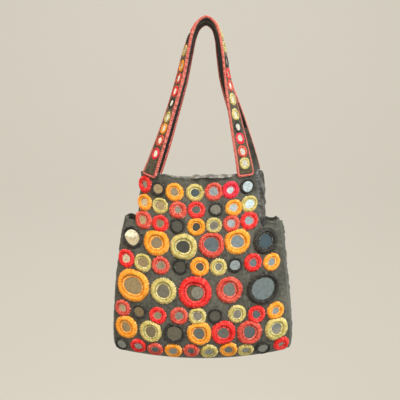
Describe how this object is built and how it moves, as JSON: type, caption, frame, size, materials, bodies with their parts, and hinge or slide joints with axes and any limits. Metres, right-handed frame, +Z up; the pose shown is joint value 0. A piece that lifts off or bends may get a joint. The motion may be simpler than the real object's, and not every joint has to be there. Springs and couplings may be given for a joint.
{
  "type": "mini handbag",
  "caption": "Mini handbag of black cotton covered in round mirror-work embroidery, with open side pockets and two braid-edged straps, shown hanging.",
  "frame": {"origin": "underside of the straps at the top of their loop, midway between the two straps, where a peg holds the bag", "axes": "+Z up from the bag to the top of the straps; the mirror-worked front faces -Y; +X to the right seen from the front"},
  "size_m": [0.1834, 0.0499, 0.3482],
  "materials": {
    "cotton": "matte black cotton",
    "satin": "black satin",
    "braid": "red braid",
    "thread_red": "red embroidery thread round a mirror",
    "thread_rose": "rose embroidery thread round a mirror",
    "thread_orange": "orange embroidery thread round a mirror",
    "thread_olive": "olive embroidery thread round a mirror",
    "thread_salmon": "salmon embroidery thread round a mirror",
    "thread_black": "black embroidery thread round a mirror"
  },
  "bodies": {
    "root": {"front_panel": "cotton", "back_panel": "cotton", "left_gusset": "satin", "right_gusset": "satin", "left_pocket": "cotton", "right_pocket": "cotton", "lining": "satin", "front_strap": "cotton", "front_strap_edging": "braid", "back_strap": "cotton", "back_strap_edging": "braid", "mirror_row1_1": "thread_red", "mirror_row1_2": "thread_black", "mirror_row1_3": "thread_orange", "mirror_row1_4": "thread_olive", "mirror_row1_5": "thread_salmon", "mirror_row1_6": "thread_rose", "mirror_row1_7": "thread_black", "mirror_row2_1": "thread_orange", "mirror_row2_2": "thread_olive", "mirror_row2_3": "thread_salmon", "mirror_row2_4": "thread_red", "mirror_row2_5": "thread_black", "mirror_row2_6": "thread_orange", "mirror_row2_7": "thread_olive", "mirror_row3_1": "thread_salmon", "mirror_row3_2": "thread_red", "mirror_row3_3": "thread_black", "mirror_row3_4": "thread_orange", "mirror_row3_5": "thread_olive", "mirror_row3_6": "thread_salmon", "mirror_row3_7": "thread_red", "mirror_row4_1": "thread_black", "mirror_row4_2": "thread_orange", "mirror_row4_3": "thread_olive", "mirror_row4_4": "thread_salmon", "mirror_row4_5": "thread_orange", "mirror_row4_6": "thread_black", "mirror_string_row5": "thread_salmon", "mirror_row6_1": "thread_orange", "mirror_row6_2": "thread_olive", "mirror_row6_3": "thread_red", "mirror_row6_4": "thread_salmon", "mirror_row6_5": "thread_black", "mirror_string_row7": "thread_salmon", "mirror_row8_1": "thread_orange", "mirror_row8_2": "thread_olive", "mirror_row8_3": "thread_black", "mirror_row8_4": "thread_orange", "mirror_row8_5": "thread_red", "mirror_row8_6": "thread_salmon", "mirror_row8_7": "thread_olive", "mirror_string_row9": "thread_salmon"}
  },
  "joints": []
}
